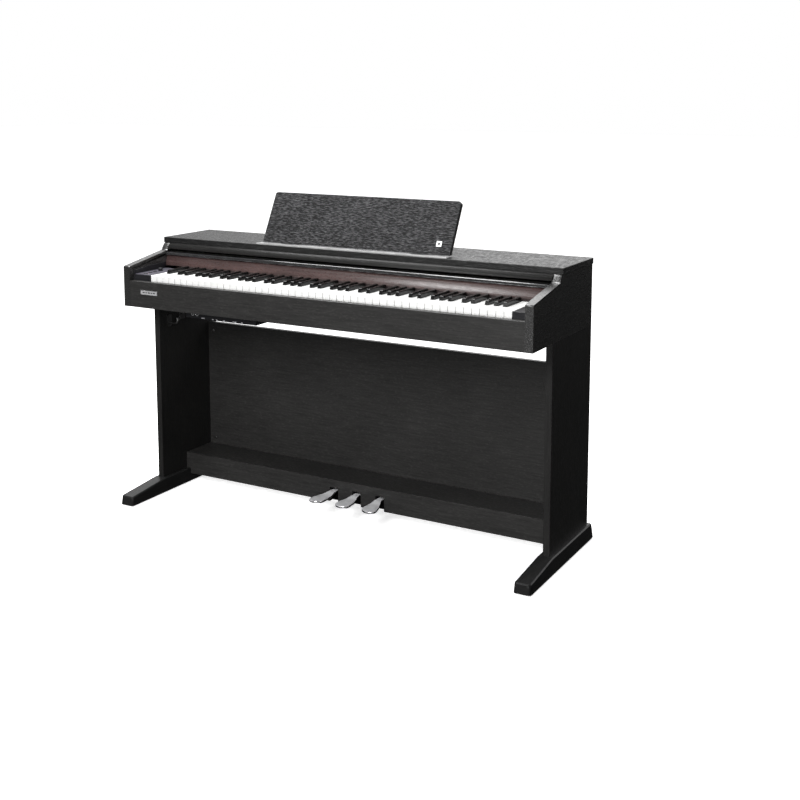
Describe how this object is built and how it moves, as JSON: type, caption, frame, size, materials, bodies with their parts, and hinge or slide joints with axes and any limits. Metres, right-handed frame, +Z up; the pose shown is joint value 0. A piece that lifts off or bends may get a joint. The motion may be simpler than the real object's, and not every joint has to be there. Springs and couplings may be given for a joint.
{
  "type": "digital piano",
  "caption": "Digital piano on a fixed stand: boxed keyboard cabinet with sliding key cover, folding music rest, weighted-style keys and a rail of foot pedals.",
  "frame": {"origin": "on the floor, under the middle of the overall width and depth", "axes": "+X to the player's right, +Y away from the player, +Z up"},
  "size_m": [1.413, 0.47, 0.9926],
  "materials": {
    "cabinet_board": "matt near-black foil with fine horizontal wood grain",
    "lid_board": "matt near-black foil with fine grain",
    "stand_board": "matt near-black foil with fine wood grain",
    "rest_board": "near-black embossed grain",
    "nameboard": "satin dark brown",
    "cover_board": "matt near-black",
    "cover_grip": "gloss black",
    "white_keys": "gloss white",
    "black_keys": "matt black",
    "black_plastic": "satin black",
    "moulded_frame": "matt grey",
    "panel_plate": "satin dark grey",
    "buttons": "satin grey",
    "felt": "dark felt",
    "chrome": "polished",
    "steel": "zinc plated",
    "painted_steel": "satin black paint",
    "glide_rubber": "matt",
    "circuit_board": "printed board",
    "speaker_cone": "matt"
  },
  "bodies": {
    "cabinet_and_stand": {"back_board": "cabinet_board", "bottom_board": "cabinet_board", "centre_pedal_spring": "steel", "control_panel": "panel_plate", "foot_glides": "glide_rubber", "headphone_hook": "steel", "jack_box": "black_plastic", "key_chassis": "moulded_frame", "key_contact_board": "circuit_board", "key_felt": "felt", "key_pivot_rod": "steel", "key_slip": "cabinet_board", "kick_panel": "stand_board", "left_cheek": "cabinet_board", "left_end_block": "black_plastic", "left_foot": "stand_board", "left_leg_panel": "stand_board", "left_pedal_spring": "steel", "lid_header": "cabinet_board", "main_circuit_board": "circuit_board", "music_ledge": "black_plastic", "music_rest_hinges": "painted_steel", "nameboard": "nameboard", "pedal_frame": "painted_steel", "pedal_pivot_shaft": "steel", "pedal_shelf": "stand_board", "rear_panel": "stand_board", "right_cheek": "cabinet_board", "right_end_block": "black_plastic", "right_foot": "stand_board", "right_leg_panel": "stand_board", "right_pedal_spring": "steel", "side_trims": "black_plastic", "speakers": "speaker_cone", "stand_brackets": "steel", "stand_screws": "steel", "top_lid": "lid_board"},
    "keys_c_body": {"keys_c": "white_keys"},
    "keys_d_body": {"keys_d": "white_keys"},
    "keys_e_body": {"keys_e": "white_keys"},
    "keys_f_body": {"keys_f": "white_keys"},
    "keys_g_body": {"keys_g": "white_keys"},
    "keys_a_body": {"keys_a": "white_keys"},
    "keys_b_body": {"keys_b": "white_keys"},
    "keys_c_sharp_body": {"keys_c_sharp": "black_keys"},
    "keys_d_sharp_body": {"keys_d_sharp": "black_keys"},
    "keys_f_sharp_body": {"keys_f_sharp": "black_keys"},
    "keys_g_sharp_body": {"keys_g_sharp": "black_keys"},
    "keys_a_sharp_body": {"keys_a_sharp": "black_keys"},
    "left_pedal_body": {"left_pedal": "chrome"},
    "centre_pedal_body": {"centre_pedal": "chrome"},
    "right_pedal_body": {"right_pedal": "chrome"},
    "key_cover_body": {"key_cover": "cover_board", "key_cover_grip": "cover_grip"},
    "music_rest_body": {"music_rest": "rest_board", "rest_hinge_leaves": "painted_steel"},
    "volume_knob_body": {"volume_knob": "black_plastic"},
    "power_button_body": {"power_button": "buttons"},
    "function_button_1_body": {"function_button_1": "buttons"},
    "function_button_2_body": {"function_button_2": "buttons"}
  },
  "joints": [
    {"name": "keys_c_press", "type": "hinge", "parent": "cabinet_and_stand", "child": "keys_c_body", "pos_m": [0, 0.045, 0.731], "axis": [1, 0, 0], "range_deg": [0, 2.5], "stiffness_Nm_per_rad": 6, "springref_deg": -17.19},
    {"name": "keys_d_press", "type": "hinge", "parent": "cabinet_and_stand", "child": "keys_d_body", "pos_m": [0, 0.045, 0.731], "axis": [1, 0, 0], "range_deg": [0, 2.5], "stiffness_Nm_per_rad": 6, "springref_deg": -17.19},
    {"name": "keys_e_press", "type": "hinge", "parent": "cabinet_and_stand", "child": "keys_e_body", "pos_m": [0, 0.045, 0.731], "axis": [1, 0, 0], "range_deg": [0, 2.5], "stiffness_Nm_per_rad": 6, "springref_deg": -17.19},
    {"name": "keys_f_press", "type": "hinge", "parent": "cabinet_and_stand", "child": "keys_f_body", "pos_m": [0, 0.045, 0.731], "axis": [1, 0, 0], "range_deg": [0, 2.5], "stiffness_Nm_per_rad": 6, "springref_deg": -17.19},
    {"name": "keys_g_press", "type": "hinge", "parent": "cabinet_and_stand", "child": "keys_g_body", "pos_m": [0, 0.045, 0.731], "axis": [1, 0, 0], "range_deg": [0, 2.5], "stiffness_Nm_per_rad": 6, "springref_deg": -17.19},
    {"name": "keys_a_press", "type": "hinge", "parent": "cabinet_and_stand", "child": "keys_a_body", "pos_m": [0, 0.045, 0.731], "axis": [1, 0, 0], "range_deg": [0, 2.5], "stiffness_Nm_per_rad": 6, "springref_deg": -17.19},
    {"name": "keys_b_press", "type": "hinge", "parent": "cabinet_and_stand", "child": "keys_b_body", "pos_m": [0, 0.045, 0.731], "axis": [1, 0, 0], "range_deg": [0, 2.5], "stiffness_Nm_per_rad": 6, "springref_deg": -17.19},
    {"name": "keys_c_sharp_press", "type": "hinge", "parent": "cabinet_and_stand", "child": "keys_c_sharp_body", "pos_m": [0, 0.045, 0.731], "axis": [1, 0, 0], "range_deg": [0, 2.5], "stiffness_Nm_per_rad": 4, "springref_deg": -16.04},
    {"name": "keys_d_sharp_press", "type": "hinge", "parent": "cabinet_and_stand", "child": "keys_d_sharp_body", "pos_m": [0, 0.045, 0.731], "axis": [1, 0, 0], "range_deg": [0, 2.5], "stiffness_Nm_per_rad": 4, "springref_deg": -16.04},
    {"name": "keys_f_sharp_press", "type": "hinge", "parent": "cabinet_and_stand", "child": "keys_f_sharp_body", "pos_m": [0, 0.045, 0.731], "axis": [1, 0, 0], "range_deg": [0, 2.5], "stiffness_Nm_per_rad": 4, "springref_deg": -16.04},
    {"name": "keys_g_sharp_press", "type": "hinge", "parent": "cabinet_and_stand", "child": "keys_g_sharp_body", "pos_m": [0, 0.045, 0.731], "axis": [1, 0, 0], "range_deg": [0, 2.5], "stiffness_Nm_per_rad": 4, "springref_deg": -16.04},
    {"name": "keys_a_sharp_press", "type": "hinge", "parent": "cabinet_and_stand", "child": "keys_a_sharp_body", "pos_m": [0, 0.045, 0.731], "axis": [1, 0, 0], "range_deg": [0, 2.5], "stiffness_Nm_per_rad": 4, "springref_deg": -16.04},
    {"name": "left_pedal_press", "type": "hinge", "parent": "cabinet_and_stand", "child": "left_pedal_body", "pos_m": [-0.083, 0.13, 0.066], "axis": [1, 0, 0], "range_deg": [0, 5], "stiffness_Nm_per_rad": 20, "springref_deg": -4.87, "deforming": ["left_pedal_spring"]},
    {"name": "centre_pedal_press", "type": "hinge", "parent": "cabinet_and_stand", "child": "centre_pedal_body", "pos_m": [0, 0.13, 0.066], "axis": [1, 0, 0], "range_deg": [0, 5], "stiffness_Nm_per_rad": 20, "springref_deg": -4.87, "deforming": ["centre_pedal_spring"]},
    {"name": "right_pedal_press", "type": "hinge", "parent": "cabinet_and_stand", "child": "right_pedal_body", "pos_m": [0.083, 0.13, 0.066], "axis": [1, 0, 0], "range_deg": [0, 5], "stiffness_Nm_per_rad": 20, "springref_deg": -4.87, "deforming": ["right_pedal_spring"]},
    {"name": "key_cover_slide", "type": "slide", "parent": "cabinet_and_stand", "child": "key_cover_body", "axis": [0, -0.9859, -0.1671], "range_m": [0, 0.165]},
    {"name": "music_rest_fold", "type": "hinge", "parent": "cabinet_and_stand", "child": "music_rest_body", "pos_m": [0.004, 0.0496, 0.8442], "axis": [-1, 0, 0], "range_deg": [0, 62]},
    {"name": "volume_knob_turn", "type": "hinge", "parent": "cabinet_and_stand", "child": "volume_knob_body", "pos_m": [-0.635, -0.097, 0.743], "axis": [0, 0, 1], "range_deg": [-140, 140]},
    {"name": "power_button_press", "type": "slide", "parent": "cabinet_and_stand", "child": "power_button_body", "axis": [0, 0, -1], "range_m": [0, 0.0012], "stiffness_N_per_m": 300, "springref_m": -0.0012},
    {"name": "function_button_1_press", "type": "slide", "parent": "cabinet_and_stand", "child": "function_button_1_body", "axis": [0, 0, -1], "range_m": [0, 0.0012], "stiffness_N_per_m": 300, "springref_m": -0.0012},
    {"name": "function_button_2_press", "type": "slide", "parent": "cabinet_and_stand", "child": "function_button_2_body", "axis": [0, 0, -1], "range_m": [0, 0.0012], "stiffness_N_per_m": 300, "springref_m": -0.0012}
  ]
}
